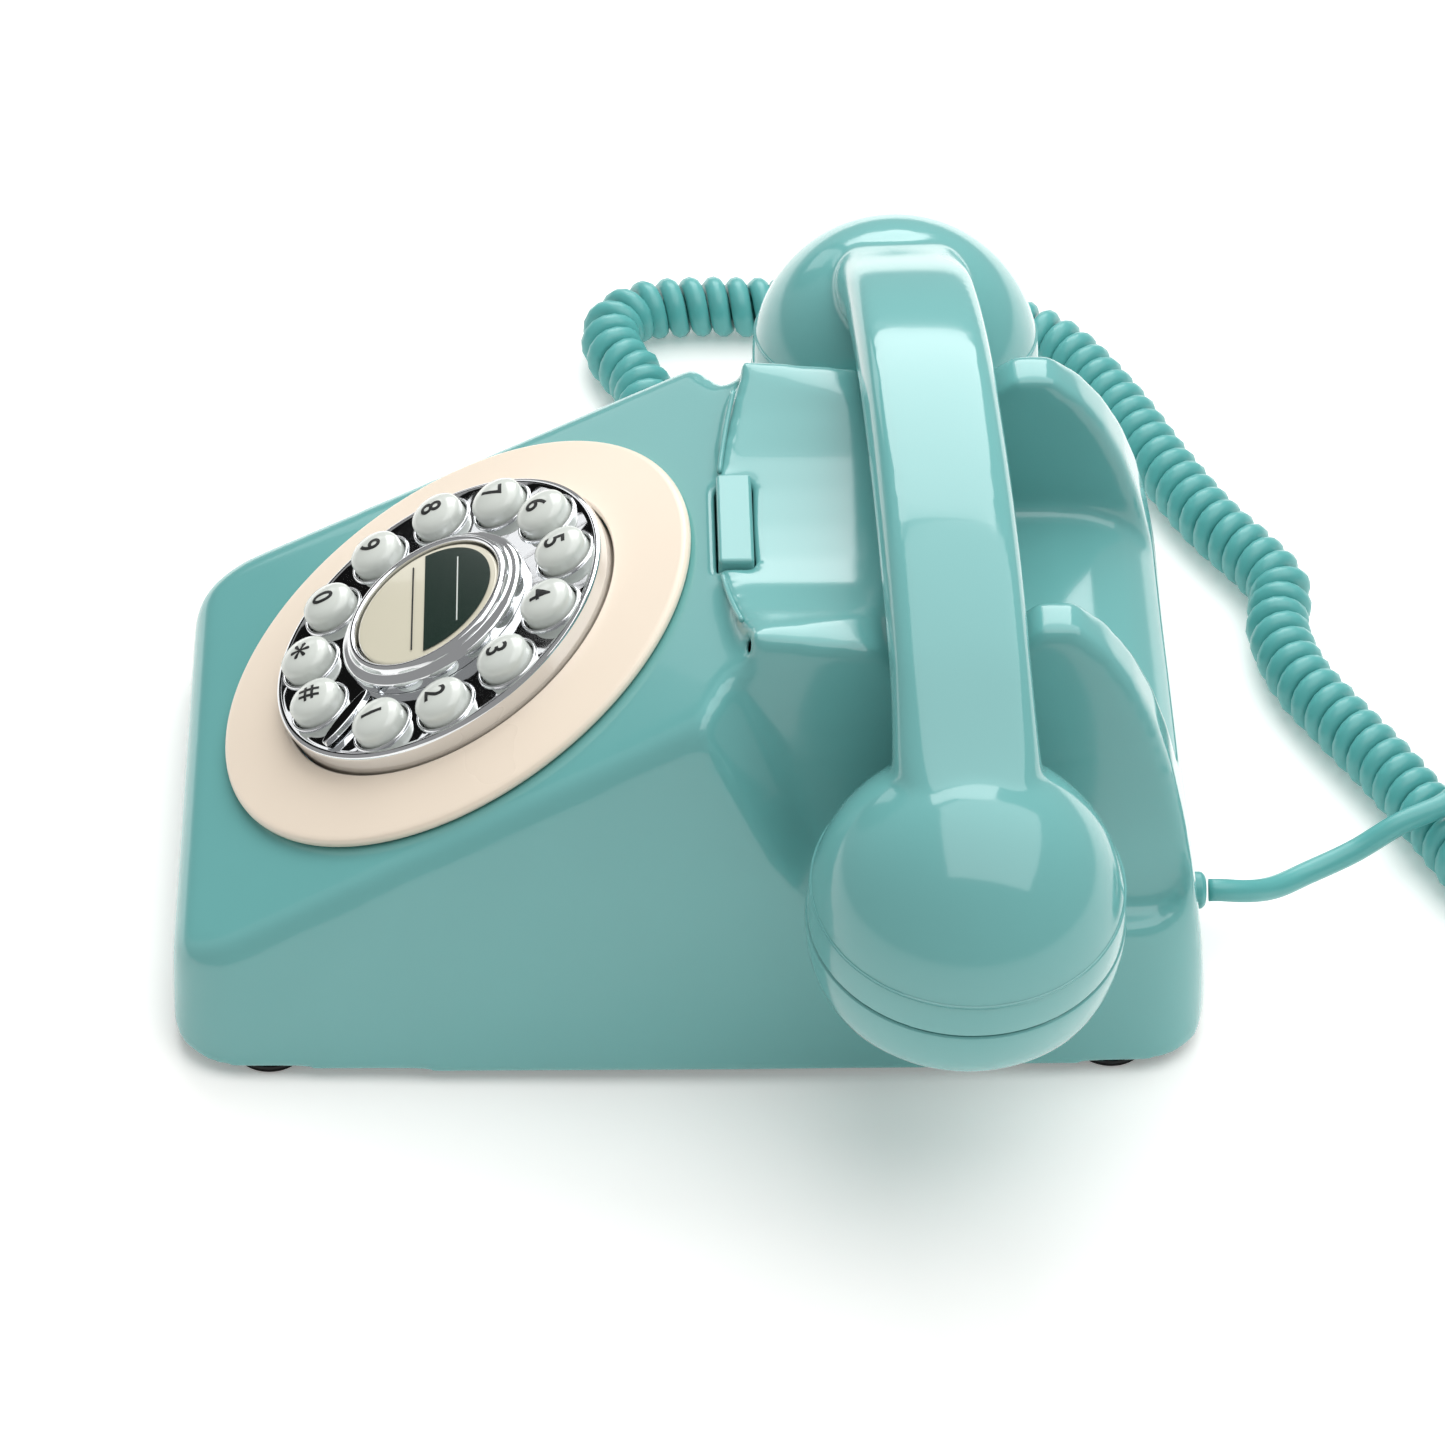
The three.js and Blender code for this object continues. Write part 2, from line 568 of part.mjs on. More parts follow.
function cap(side) {
  const { seam, r, low, face } = CAP;
  const outer = [[0, low + 1], [face - 4, low], [face, low], [28.8, low + 2], [31.4, low + 6.5], [r, seam - 5]];
  outer.push([r, seam - GAP]);
  const inner = [[r - 2.6, seam - GAP], [r - 2.8, seam - 5], [28.4, low + 8], [face - 1, low + 2.8], [0, low + 3.4]];
  let made = turned([...outer, ...inner, outer[0]], 20);
  for (let i = 0; i < 5; i++) {
    const a = (2 * Math.PI * i) / 5;
    made = made.subtract(post(1.4, low - 2, low + 4, 9 * Math.cos(a), 9 * Math.sin(a), 6));
  }
  return onBall(made.subtract(post(1.4, low - 2, low + 4, 0, 0, 6)), side);
}
add("ear_cap", cap(1), teal, handset);
add("mouth_cap", cap(-1), teal, handset);
const capsuleLow = CAP.low + 3.7;
const capsule = turned([[0, capsuleLow], [19, capsuleLow], [21, -12], [21, -5], [14, -2], [0, -2]], 16);
add("receiver", onBall(capsule, 1), steel, handset);
add("microphone", onBall(post(9, capsuleLow, -8, 0, 0, 14), -1), rubber, handset);
add("handset_weight", block(-24, 24, HANDSET.y - 4.5, HANDSET.y + 4.5, 98.6, 107), steel, handset);

// ---- Handset cord -----------------------------------------------------------------------------

// Each end of the cord has a rubber boot, clipped into its hole between a flange and a collar.
const bootEnd = HANDSET.ball + 9;
const handsetBoot = [[0, 26], [6, 26], [6, 28.2], [4, 28.2], [4, 32.4], [4.8, 32.4], [3.2, bootEnd]];
handsetBoot.push([0, bootEnd]);
add("cord_boot_handset", alongExit(turned(handsetBoot, 10)), cordTeal, handset);

const caseBootEnd = 109.8;
const bootFlange = [[0, 100.5], [6, 100.5], [6, 103], [4, 103]];
const bootProfile = [...bootFlange, [4, 108.6], [4.8, 108.6], [4.4, caseBootEnd], [0, caseBootEnd]];
const caseBoot = turned(bootProfile, 10).rotate([-90, 0, 0]).translate([GLAND.x, 0, GLAND.z]);
add("cord_boot_case", caseBoot, cordTeal);

// The cord runs from the handset down to the coiled stretch on the table, and on to the case.
const LOW = CORD.coil / 2 + 0.2;
const coilStart = [-143.2, 43, 45];
const leadFrom = (distance) => new THREE.Vector3(...exitPoint(distance)).applyMatrix4(handset.matrix).toArray();
const leadPoints = [leadFrom(bootEnd + GAP), leadFrom(bootEnd + 3), [-141, 45, 60.5], [-143, 44, 52]];
leadPoints.push([-143.2, 43.1, 45.5]);
const coilPoints = [
  coilStart, [-143.4, 41.8, 36], [-142, 39, 23], [-137, 32, 12], [-129.5, 21, LOW], [-128, 8, LOW],
  [-132, -2.5, LOW], [-142, -6, LOW], [-154, -8, LOW], [-165, -13.5, LOW], [-175.5, -14.5, LOW], [-182.5, -8.5, LOW],
  [-184.8, 5, LOW], [-184.5, 22, LOW], [-185, 45, LOW], [-181, 70, LOW], [-170, 90, LOW], [-147, 103.4, LOW],
  [-121.9, 113.5, LOW], [-101, 123, LOW], [-86.5, 132, LOW], [-76.5, 136.5, LOW], [-63, 134.8, LOW],
  [-46, 138, LOW], [-30.5, 145.6, LOW], [-13.5, 154.9, LOW], [4.7, 163.4, LOW], [24, 173, LOW], [35, 188, LOW],
  [30, 204, LOW], [12, 211, LOW], [-6, 204, LOW], [-14, 191, LOW],
];
const tailPoints = [
  [-14.5, 190.1, LOW], [-16.1, 187.5, LOW], [-16, 182, 10], [-10, 176, 14.5], [-2, 171, 17.8], [9, 163.8, 18.3],
  [13.5, 153.6, 16.4], [17, 143.5, 11.5], [21.5, 133.5, 9.6], [27.5, 125.5, 10.8], [32.2, 119, 14],
  [GLAND.x, caseBootEnd + 3, GLAND.z], [GLAND.x, caseBootEnd + 2 * GAP, GLAND.z],
];
add("handset_cord_lead", alongCurve(leadPoints, CORD.wire / 2, 8, 8), cordTeal);
add("handset_cord_coil", alongCurve(coilPoints, CORD.coil / 2, 8, 52), cordTeal);
add("handset_cord_tail", alongCurve(tailPoints, CORD.wire / 2, 8, 22), cordTeal);

export default phone;
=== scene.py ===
import math

import bpy
from mathutils import Matrix, Vector


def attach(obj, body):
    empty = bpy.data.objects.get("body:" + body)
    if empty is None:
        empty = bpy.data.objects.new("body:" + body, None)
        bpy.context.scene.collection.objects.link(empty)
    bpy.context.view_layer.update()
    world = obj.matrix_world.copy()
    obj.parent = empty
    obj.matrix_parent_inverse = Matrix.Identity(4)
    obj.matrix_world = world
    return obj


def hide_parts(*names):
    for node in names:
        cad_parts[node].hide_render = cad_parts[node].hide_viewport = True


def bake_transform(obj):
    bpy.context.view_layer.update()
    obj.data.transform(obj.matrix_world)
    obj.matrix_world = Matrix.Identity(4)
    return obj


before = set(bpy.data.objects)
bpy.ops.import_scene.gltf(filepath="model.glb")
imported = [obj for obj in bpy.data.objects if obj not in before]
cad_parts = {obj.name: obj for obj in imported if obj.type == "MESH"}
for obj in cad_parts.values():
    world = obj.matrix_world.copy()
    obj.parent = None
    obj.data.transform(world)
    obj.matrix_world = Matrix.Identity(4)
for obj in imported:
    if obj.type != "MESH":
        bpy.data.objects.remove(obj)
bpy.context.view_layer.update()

# Camera. It stands over the telephone's right-hand side and looks down across the handset's near
# end, turned a quarter so that the dial is on the left.
camera = bpy.data.objects.new("camera", bpy.data.cameras.new("camera"))
bpy.context.collection.objects.link(camera)
camera.data.lens = 149.48
camera.data.sensor_width = 36
camera.data.clip_end = 10
sight = ((0.02214, 0.99969, 0.01163), (-0.65193, 0.00562, 0.75826), (0.75796, -0.02437, 0.65185))
stand = (0.97477, -0.0236, 0.8728)
camera.matrix_world = Matrix([[axis[i] for axis in sight] + [stand[i]] for i in range(3)] + [[0, 0, 0, 1]])
bpy.context.scene.camera = camera

# Handset cord. One round plastic-sheathed wire: a straight lead out of the mouth cap's boot, a close
# coil that drops to the table and runs round behind the telephone, and a straight tail into the case.
mm = 0.001
wire_width = 5 * mm
coil_width = 14.6 * mm
turn_pitch = 5.4 * mm
turn_steps = 16
low = 7.5  # height of the coil's middle where it lies on the table
boot_reach = 41  # from the middle of the mouth's ball to the end of its boot
gland = (34, 16)  # x and z of the hole in the rear of the case
case_boot_end = 109.8
ball_x, rest_y, ball_z = 90.6, 51, 63.8
handset_turn = (Matrix.Translation((0, rest_y * mm, 0)) @ Matrix.Rotation(math.radians(2), 4, "Z")
                @ Matrix.Translation((0, -rest_y * mm, 0)))
lead_way = Vector((-1, 0, 0.05)).normalized()


def ball_at(side):
    """Middle of the ball at one end of the handset: -1 is the mouth's end and 1 the ear's."""
    return Vector((side * ball_x, rest_y, ball_z)) * mm


def lead_point(reach):
    """A point on the cord's straight lead, in millimetres, at a distance from the ball's middle."""
    return tuple(handset_turn @ (ball_at(-1) + lead_way * reach * mm) / mm)


lead_points = [lead_point(boot_reach + 0.3), lead_point(boot_reach + 3), (-141, 45, 60.5), (-143, 44, 52),
               (-143.2, 43.1, 45.5)]
coil_points = [
    (-143.2, 43, 45), (-143.4, 41.8, 36), (-142, 39, 23), (-137, 32, 12), (-129.5, 21, low), (-128, 8, low),
    (-132, -2.5, low), (-142, -6, low), (-154, -8, low), (-165, -13.5, low), (-175.5, -14.5, low),
    (-182.5, -8.5, low), (-184.8, 5, low), (-184.5, 22, low), (-185, 45, low), (-181, 70, low),
    (-170, 90, low), (-147, 103.4, low), (-121.9, 113.5, low), (-101, 123, low), (-86.5, 132, low),
    (-76.5, 136.5, low), (-63, 134.8, low), (-46, 138, low), (-30.5, 145.6, low), (-13.5, 154.9, low),
    (4.7, 163.4, low), (24, 173, low), (35, 188, low), (30, 204, low), (12, 211, low), (-6, 204, low),
    (-14, 191, low)]
tail_points = [
    (-14.5, 190.1, low), (-16.1, 187.5, low), (-16, 182, 10), (-10, 176, 14.5), (-2, 171, 17.8),
    (9, 163.8, 18.3), (13.5, 153.6, 16.4), (17, 143.5, 11.5), (21.5, 133.5, 9.6), (27.5, 125.5, 10.8),
    (32.2, 119, 14), (gland[0], case_boot_end + 3, gland[1]), (gland[0], case_boot_end + 0.6, gland[1])]


def smooth_route(points, step):
    """A centripetal curve through points in millimetres, as points in metres about step apart."""
    ends = [Vector(p) * mm for p in points]
    ends = [2 * ends[0] - ends[1]] + ends + [2 * ends[-1] - ends[-2]]
    fine = []
    for a, b, c, d in zip(ends, ends[1:], ends[2:], ends[3:]):
        t = [0]
        for p, q in ((a, b), (b, c), (c, d)):
            t.append(t[-1] + (q - p).length ** 0.5)
        count = max(2, math.ceil((c - b).length / step))
        for i in range(count):
            u = t[1] + (t[2] - t[1]) * i / count
            ab = a.lerp(b, (u - t[0]) / (t[1] - t[0]))
            bc = b.lerp(c, (u - t[1]) / (t[2] - t[1]))
            cd = c.lerp(d, (u - t[2]) / (t[3] - t[2]))
            abc = ab.lerp(bc, (u - t[0]) / (t[2] - t[0]))
            bcd = bc.lerp(cd, (u - t[1]) / (t[3] - t[1]))
            fine.append(abc.lerp(bcd, (u - t[1]) / (t[2] - t[1])))
    fine.append(ends[-2])
    even = [fine[0]]
    spare = 0.0
    for p, q in zip(fine, fine[1:]):
        gap = (q - p).length
        reach = step - spare
        while reach <= gap:
            even.append(p.lerp(q, reach / gap))
            reach += step
        spare = gap - (reach - step)
    return even


def carried_axes(line):
    """Two axes square to a line at each of its points, carried along without twist."""
    axes = []
    side = None
    for i, p in enumerate(line):
        along = (line[min(i + 1, len(line) - 1)] - line[max(i - 1, 0)]).normalized()
        side = side or along.orthogonal()
        side = (side - along * side.dot(along)).normalized()
        axes.append((side, along.cross(side)))
    return axes


fine_step = 1.2 * mm
axis_line = smooth_route(coil_points, turn_pitch / turn_steps)
helix = []
for i, (p, (side, up)) in enumerate(zip(axis_line, carried_axes(axis_line))):
    run_in = min(1, min(i, len(axis_line) - 1 - i) / turn_steps)
    r = (coil_width - wire_width) / 2 * run_in * run_in * (3 - 2 * run_in)
    angle = 2 * math.pi * i / turn_steps
    helix.append(p + side * (r * math.cos(angle)) + up * (r * math.sin(angle)))
wire_path = smooth_route(lead_points, fine_step) + helix[1:] + smooth_route(tail_points, fine_step)


def skinned(name, rings):
    """A closed skin over a row of rings that have the same number of points."""
    count = len(rings[0])
    last = count * (len(rings) - 1)
    faces = [tuple(reversed(range(count))), tuple(range(last, last + count))]
    for start in range(0, last, count):
        for j in range(count):
            k = (j + 1) % count
            faces.append((start + j, start + k, start + count + k, start + count + j))
    mesh = bpy.data.meshes.new(name)
    mesh.from_pydata([p for ring in rings for p in ring], [], faces)
    piece = bpy.data.objects.new(name, mesh)
    bpy.context.collection.objects.link(piece)
    return piece


def tube(name, line, r, sides):
    """A closed round tube along a line of points."""
    angles = [2 * math.pi * j / sides for j in range(sides)]
    piece = skinned(name, [[p + side * (r * math.cos(angle)) + up * (r * math.sin(angle)) for angle in angles]
                           for p, (side, up) in zip(line, carried_axes(line))])
    piece.data.polygons.foreach_set("use_smooth", [True] * len(piece.data.polygons))
    return piece


def plastic(name, colour, rough, grain_size=0.0004, grain_depth=0.00001, coat=0.0, metal=0.0):
    """A moulded finish: a slight drift of colour and polish over the piece, and a very fine grain."""
    material = bpy.data.materials.new(name)
    material.use_nodes = True
    nodes, links = material.node_tree.nodes, material.node_tree.links
    shader = nodes["Principled BSDF"]
    shader.inputs["Metallic"].default_value = metal
    shader.inputs["Coat Weight"].default_value = coat
    shader.inputs["Coat Roughness"].default_value = 0.03
    place = nodes.new("ShaderNodeTexCoord")
    drift = nodes.new("ShaderNodeTexNoise")
    drift.inputs["Scale"].default_value = 22
    drift.inputs["Detail"].default_value = 3
    links.new(place.outputs["Object"], drift.inputs["Vector"])
    tint = nodes.new("ShaderNodeMix")
    tint.data_type = "RGBA"
    tint.inputs["A"].default_value = (*[c * 0.965 for c in colour], 1)
    tint.inputs["B"].default_value = (*[min(1, c * 1.035) for c in colour], 1)
    links.new(drift.outputs["Fac"], tint.inputs["Factor"])
    links.new(tint.outputs["Result"], shader.inputs["Base Color"])
    polish = nodes.new("ShaderNodeMapRange")
    polish.inputs["To Min"].default_value = rough * 0.85
    polish.inputs["To Max"].default_value = rough * 1.2
    links.new(drift.outputs["Fac"], polish.inputs["Value"])
    links.new(polish.outputs["Result"], shader.inputs["Roughness"])
    grain = nodes.new("ShaderNodeTexNoise")
    grain.inputs["Scale"].default_value = 1 / grain_size
    grain.inputs["Detail"].default_value = 2
    links.new(place.outputs["Object"], grain.inputs["Vector"])
    bump = nodes.new("ShaderNodeBump")
    bump.inputs["Strength"].default_value = 0.3
    bump.inputs["Distance"].default_value = grain_depth
    links.new(grain.outputs["Fac"], bump.inputs["Height"])
    links.new(bump.outputs["Normal"], shader.inputs["Normal"])
    return material


def painted(red, green, blue):
    """A colour read off a swatch, 0 to 255, as the shader takes it."""
    return [((c / 255 + 0.055) / 1.055) ** 2.4 if c > 10 else c / 255 / 12.92 for c in (red, green, blue)]


cord_sheath = plastic("cord sheath", painted(94, 174, 172), 0.3, grain_depth=0.00002)
cord = tube("handset_cord", wire_path, wire_width / 2, 10)
cord.data.materials.append(cord_sheath)
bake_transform(cord)
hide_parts("handset_cord_lead", "handset_cord_coil", "handset_cord_tail")

# Cord boots. Soft rubber sleeves moulded on the wire, ribbed so that they bend; each is clipped into
# its hole by the groove between a flange and a collar.


def turned(name, profile, sides=96):
    """A turned piece on the Z axis: a ring drawn out, step by step, along (radius, height) points in
    millimetres. A profile that comes back to its start is a ring; otherwise its ends are closed."""
    bpy.ops.object.select_all(action="DESELECT")
    ring = profile[0] == profile[-1]
    r, z = profile[0]
    bpy.ops.mesh.primitive_circle_add(vertices=sides, radius=r * mm, location=(0, 0, z * mm))
    piece = bpy.context.object
    piece.name = piece.data.name = name
    bpy.ops.object.transform_apply(location=True)
    bpy.ops.object.mode_set(mode="EDIT")
    bpy.ops.mesh.select_all(action="SELECT")
    if not ring:
        bpy.ops.mesh.edge_face_add()
    for (r0, z0), (r1, z1) in zip(profile, profile[1:]):
        if ring:
            bpy.ops.mesh.extrude_edges_move(TRANSFORM_OT_translate={"value": (0, 0, (z1 - z0) * mm)})
        else:
            bpy.ops.mesh.extrude_region_move(TRANSFORM_OT_translate={"value": (0, 0, (z1 - z0) * mm)})
        bpy.ops.transform.resize(value=(r1 / r0, r1 / r0, 1), center_override=(0, 0, z1 * mm))
    bpy.ops.mesh.select_all(action="SELECT")
    bpy.ops.mesh.remove_doubles(threshold=1e-6)
    bpy.ops.mesh.normals_make_consistent(inside=False)
    bpy.ops.object.mode_set(mode="OBJECT")
    return piece


def only(piece):
    """Selects one piece and nothing else."""
    bpy.ops.object.select_all(action="DESELECT")
    piece.select_set(True)
    bpy.context.view_layer.objects.active = piece


def eased(piece, width, segments=3, angle=30):
    """Rounds the edges that are sharper than an angle and smooths the rest; flat faces stay flat."""
    only(piece)
    bevel = piece.modifiers.new("bevel", "BEVEL")
    bevel.width = width * mm
    bevel.segments = segments
    bevel.limit_method = "ANGLE"
    bevel.angle_limit = math.radians(angle)
    bpy.ops.object.modifier_apply(modifier="bevel")
    bpy.ops.object.shade_smooth_by_angle(angle=math.radians(40))
    flat = piece.modifiers.new("flat", "WEIGHTED_NORMAL")
    flat.keep_sharp = True
    bpy.ops.object.modifier_apply(modifier="flat")


def finished(piece, body, material, place=None, stands_for=()):
    """Settles a piece in its place, gives it its finish and lets it ride on its body."""
    if place:
        piece.data.transform(place)
    piece.data.materials.clear()
    piece.data.materials.append(material)
    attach(piece, body)
    if stands_for:
        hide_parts(*stands_for)


def ribbed(start, end, r0, r1, ribs):
    """Profile points of a tapering sleeve with ribs round it."""
    points = []
    step = (end - start) / ribs
    for i in range(ribs):
        z = start + step * i
        r = r0 + (r1 - r0) * i / ribs
        points += [(r, z), (r, z + step * 0.6), (r - 0.5, z + step * 0.68), (r - 0.5, z + step * 0.92)]
    return points + [(r1, end - 0.5), (r1 - 0.4, end)]


handset_boot = turned("handset_boot", [(5.6, 26), (6, 26.4), (6, 27.8), (5.6, 28.2), (4, 28.2), (4, 32.4)]
                      + ribbed(32.5, boot_reach, 4.8, 3.6, 4), 48)
eased(handset_boot, 0.15, 2)
lead_turn = Vector((0, 0, 1)).rotation_difference(lead_way).to_matrix().to_4x4()
finished(handset_boot, "handset", cord_sheath,
         handset_turn @ Matrix.Translation(ball_at(-1)) @ lead_turn, ["cord_boot_handset"])
case_boot = turned("case_boot", [(5.6, 100.5), (6, 100.9), (6, 102.6), (5.6, 103), (4, 103), (4, 108.5),
                                 (3.9, 109), (3.4, 109.5), (2.9, case_boot_end)], 48)
eased(case_boot, 0.15, 2)
finished(case_boot, "base", cord_sheath,
         Matrix.Translation((gland[0] * mm, 0, gland[1] * mm)) @ Matrix.Rotation(math.radians(-90), 4, "X"),
         ["cord_boot_case"])

# Table top and studio light. A plain white table in a bright room with big soft lamps: one overhead,
# one on the far side for the broad shine on the handset, and a small one before a dark doorway.
bpy.ops.object.select_all(action="DESELECT")
bpy.ops.mesh.primitive_plane_add(size=6)
table = bpy.context.object
table.name = "table_top"
table_white = plastic("table white", painted(250, 249, 247), 0.7, grain_size=0.01)
table_shader = table_white.node_tree.nodes["Principled BSDF"]
table_shader.inputs["Emission Color"].default_value = (1, 0.99, 0.97, 1)
table_shader.inputs["Emission Strength"].default_value = 0.22
table.data.materials.append(table_white)
world = bpy.data.worlds.new("studio")
world.use_nodes = True
room = world.node_tree
sky = room.nodes["Background"]
sky.inputs["Strength"].default_value = 0.34
look = room.nodes.new("ShaderNodeTexCoord")
toward = room.nodes.new("ShaderNodeVectorMath")
toward.operation = "DOT_PRODUCT"
doorway_way = (-0.77, -0.56, 0.31)
toward.inputs[1].default_value = doorway_way
room.links.new(look.outputs["Generated"], toward.inputs[0])
doorway = room.nodes.new("ShaderNodeValToRGB")
doorway.color_ramp.elements[0].position = 0.955
doorway.color_ramp.elements[0].color = (1, 1, 1, 1)
doorway.color_ramp.elements[1].position = 0.975
doorway.color_ramp.elements[1].color = (0.02, 0.02, 0.02, 1)
room.links.new(toward.outputs["Value"], doorway.inputs["Fac"])
room.links.new(doorway.outputs["Color"], sky.inputs["Color"])
bpy.context.scene.world = world
bpy.context.scene.view_settings.view_transform = "Standard"
lamps = [("lamp_over", (0.0, 0.45, 1.6), (0, 0, 0), 2.0, 24),
         ("lamp_far", (-1.14, 0.02, 1.0), (0, 0.03, 0.08), 1.0, 12),
         ("lamp_low", (-1.268, -0.722, 0.52), (0, -0.05, 0.06), 0.35, 0.45)]
for name, spot, aim, size, power in lamps:
    lamp = bpy.data.objects.new(name, bpy.data.lights.new(name, "AREA"))
    bpy.context.collection.objects.link(lamp)
    lamp.data.shape = "SQUARE"
    lamp.data.size = size
    lamp.data.energy = power
    lamp.location = spot
    lamp.rotation_euler = (Vector(aim) - Vector(spot)).to_track_quat("-Z", "Y").to_euler()

# Case. One glossy injection moulding with a wall all round: the dial's slope in front, the saddle and
# two horns for the handset behind, and every edge softly rounded.


def softened(name, sources, voxel, rounds, triangles, firm=()):
    """One smooth moulding out of rough solids: their outer skin on a fine grid, relaxed and thinned.
    Inside the firm boxes, which hold its slots and bores, it is relaxed much less."""
    copies = []
    for source in sources:
        copy = source.copy()
        copy.data = source.data.copy()
        copy.parent = None
        copy.matrix_world = Matrix.Identity(4)
        bpy.context.collection.objects.link(copy)
        copies.append(copy)
    only(copies[0])
    for copy in copies:
        copy.select_set(True)
    if len(copies) > 1:
        bpy.ops.object.join()
    piece = bpy.context.object
    piece.name = piece.data.name = name
    bpy.ops.object.mode_set(mode="EDIT")
    bpy.ops.mesh.select_all(action="SELECT")
    bpy.ops.mesh.remove_doubles(threshold=1e-6)
    bpy.ops.object.mode_set(mode="OBJECT")
    remesh = piece.modifiers.new("grid", "REMESH")
    remesh.mode = "VOXEL"
    remesh.voxel_size = voxel * mm
    bpy.ops.object.modifier_apply(modifier="grid")
    loose = []
    for v in piece.data.vertices:
        if not any(all(a * mm < c < b * mm for c, (a, b) in zip(v.co, box)) for box in firm):
            loose.append(v.index)
    soft = piece.vertex_groups.new(name="soft")
    soft.add(loose, 1, "REPLACE")
    first_rounds = 6
    for group, times in (("", first_rounds), ("soft", rounds)):
        relax = piece.modifiers.new("relax", "SMOOTH")
        relax.factor = 0.5
        relax.iterations = times
        relax.vertex_group = group
        bpy.ops.object.modifier_apply(modifier="relax")
    piece.vertex_groups.clear()
    faces = sum(len(p.vertices) - 2 for p in piece.data.polygons)
    if faces > triangles:
        thin = piece.modifiers.new("thin", "DECIMATE")
        thin.ratio = triangles / faces
        bpy.ops.object.modifier_apply(modifier="thin")
    bpy.ops.object.shade_smooth()
    return piece


case_gloss = plastic("case gloss", painted(112, 178, 176), 0.13, coat=0.3)
pin_x, pin_y = 43.2, 52
recall_slot = ((-17, 17), (3.5, 16), (80, 100))
pin_bores = [((side * pin_x - 5, side * pin_x + 5), (pin_y - 5, pin_y + 5), (80, 100)) for side in (-1, 1)]
case = softened("case", [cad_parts["case_shell"]], 1.0, 30, 190000,
                [recall_slot] + pin_bores)
finished(case, "base", case_gloss, stands_for=["case_shell"])
saddle_radius = 115
saddle_middle = 203.1
bead_radius = 0.55
for name, reach in (("saddle_bead_left", range(-38, -16)), ("saddle_bead_right", range(17, 39))):
    edge_line = []
    for x in reach:
        z = saddle_middle - math.sqrt(saddle_radius ** 2 - x * x)
        edge_line.append(Vector((x, 6 + 5.5 * (x / 44) ** 2, z)) * mm)
    finished(tube(name, edge_line, bead_radius * mm, 12), "base", case_gloss)

# Feet. Four black rubber discs, moulded with grooves round their sides and stuck under the corners
# of the base plate.
corners = [(1, 1), (-1, 1), (1, -1), (-1, -1)]
foot_x, foot_y = 64, 88
foot_rubber = plastic("foot rubber", painted(26, 26, 27), 0.75, grain_size=0.0006, grain_depth=0.00006)
foot_profile = [(6.4, 0), (7, 0.25), (7.5, 0.5), (7.1, 0.75), (7.6, 1), (7.2, 1.25), (7.8, 1.5), (7.8, 2.2)]
for i, (side, end) in enumerate(corners, 1):
    foot = turned("foot_pad_%d" % i, foot_profile, 48)
    eased(foot, 0.08, 2)
    foot_place = Matrix.Translation((side * foot_x * mm, end * foot_y * mm, 0))
    finished(foot, "base", foot_rubber, foot_place, ["foot_%d" % i])

# Base plate and its screws. A flat grey moulding that closes the case from below, held by four
# zinc screws with pan heads that are driven up into posts of the case.
inner_grey = plastic("inner grey", painted(92, 97, 100), 0.55, grain_size=0.0008, grain_depth=0.00005)
bright_zinc = plastic("bright zinc", painted(190, 192, 196), 0.3, metal=1, grain_size=0.0006)
screw_x, screw_y = 60, 66
screw_profile = [(2.6, 0.7), (3.2, 1.2), (3.2, 2.2), (1.5, 2.2), (1.5, 15), (0.8, 15.7)]
for i, (side, end) in enumerate(corners, 1):
    screw = turned("screw_%d" % i, screw_profile, 32)
    eased(screw, 0.12, 2)
    screw_place = Matrix.Translation((side * screw_x * mm, end * screw_y * mm, 0))
    finished(screw, "base", bright_zinc, screw_place, ["case_screw_%d" % i])


def refinish(material, *names):
    """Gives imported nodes, whose shapes are right, their finish."""
    for name in names:
        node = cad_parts[name]
        node.data.materials.clear()
        node.data.materials.append(material)


refinish(inner_grey, "base_plate", "keypad_frame", "hook_yoke", "hook_switch", "line_socket")
refinish(bright_zinc, "switch_bracket", "ballast", "ringer_frame", "ringer_clapper", "clapper_pin",
         "receiver", "handset_weight")
refinish(foot_rubber, "keypad_mat", "ringer_switch", "microphone")

# Bell and boards. Two turned brass gongs on a steel frame with a varnished copper coil, and two
# lacquered green circuit boards: one on the base plate's posts and a round one under the keys.
refinish(plastic("gong brass", painted(196, 164, 92), 0.25, metal=1), "gong_left", "gong_right")
refinish(plastic("coil copper", painted(172, 104, 62), 0.35, metal=1, grain_size=0.0005), "ringer_coil")
refinish(plastic("board green", painted(36, 92, 62), 0.4, grain_size=0.001), "keypad_board", "main_board")

# Dial surround. A wide cream plastic ring, moulded as a shallow cone with a rounded rim, and
# clipped to the slope of the case round the dial plate.
dial_middle = Vector((0, -49.9, 59.4))
dial_slope = 29.72
dial_place = Matrix.Translation(dial_middle * mm) @ Matrix.Rotation(math.radians(dial_slope), 4, "X")
cream_gloss = plastic("cream gloss", painted(245, 230, 211), 0.28)
surround = turned("dial_ring", [(40.2, -2.6), (56.4, -2.6), (57, -2), (57, -1.2), (56.5, -0.5), (55.4, -0.1),
                                (40.8, 1.75), (40.2, 1.2), (40.2, -2.6)], 160)
eased(surround, 0.25)
finished(surround, "base", cream_gloss, dial_place, ["dial_surround"])

# Dial plate. A plate pressed out of sheet with a rolled rim and a lipped well for each key, then
# chromed and polished; its skirt drops inside the cream ring and holds it in the case.


